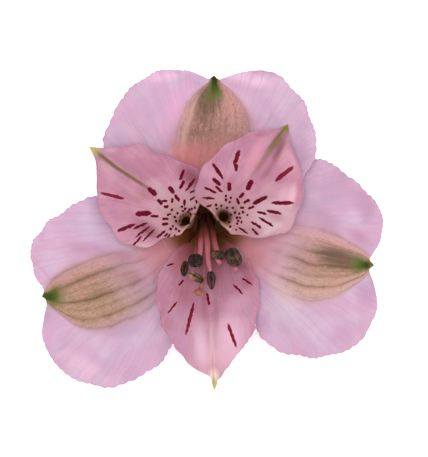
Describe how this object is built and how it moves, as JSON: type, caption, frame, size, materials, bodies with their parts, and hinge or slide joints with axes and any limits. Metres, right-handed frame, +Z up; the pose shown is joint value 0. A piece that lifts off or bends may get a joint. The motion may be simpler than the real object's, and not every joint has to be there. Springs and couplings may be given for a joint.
{
  "type": "alstroemeria flower",
  "caption": "Single alstroemeria bloom on its ovary and short cut stalk, lying with its face tilted up.",
  "frame": {"origin": "on the surface the flower lies on, under the middle of its box", "axes": "+Z up from the surface, +Y towards the cut end of the stalk, the bloom faces -Y and up"},
  "size_m": [0.0666, 0.0886, 0.0488],
  "materials": {
    "outer_tepals": "matte, pale lilac-pink petal with a brown-green striped middle",
    "inner_tepals": "matte, rose-pink petal with maroon dashes",
    "filaments": "smooth, deep pink",
    "anthers": "matte, dark grey-brown pollen sacs",
    "style": "smooth, pink running to orange-tan",
    "stalk": "smooth, fresh green"
  },
  "bodies": {
    "root": {"stalk_and_ovary": "stalk", "outer_tepal_top": "outer_tepals", "outer_tepal_left": "outer_tepals", "outer_tepal_right": "outer_tepals", "inner_tepal_left": "inner_tepals", "inner_tepal_right": "inner_tepals", "inner_tepal_lower": "inner_tepals", "filament_1": "filaments", "filament_2": "filaments", "filament_3": "filaments", "filament_4": "filaments", "filament_5": "filaments", "filament_6": "filaments", "anther_1": "anthers", "anther_2": "anthers", "anther_3": "anthers", "anther_4": "anthers", "anther_5": "anthers", "anther_6": "anthers", "style": "style"}
  },
  "joints": []
}
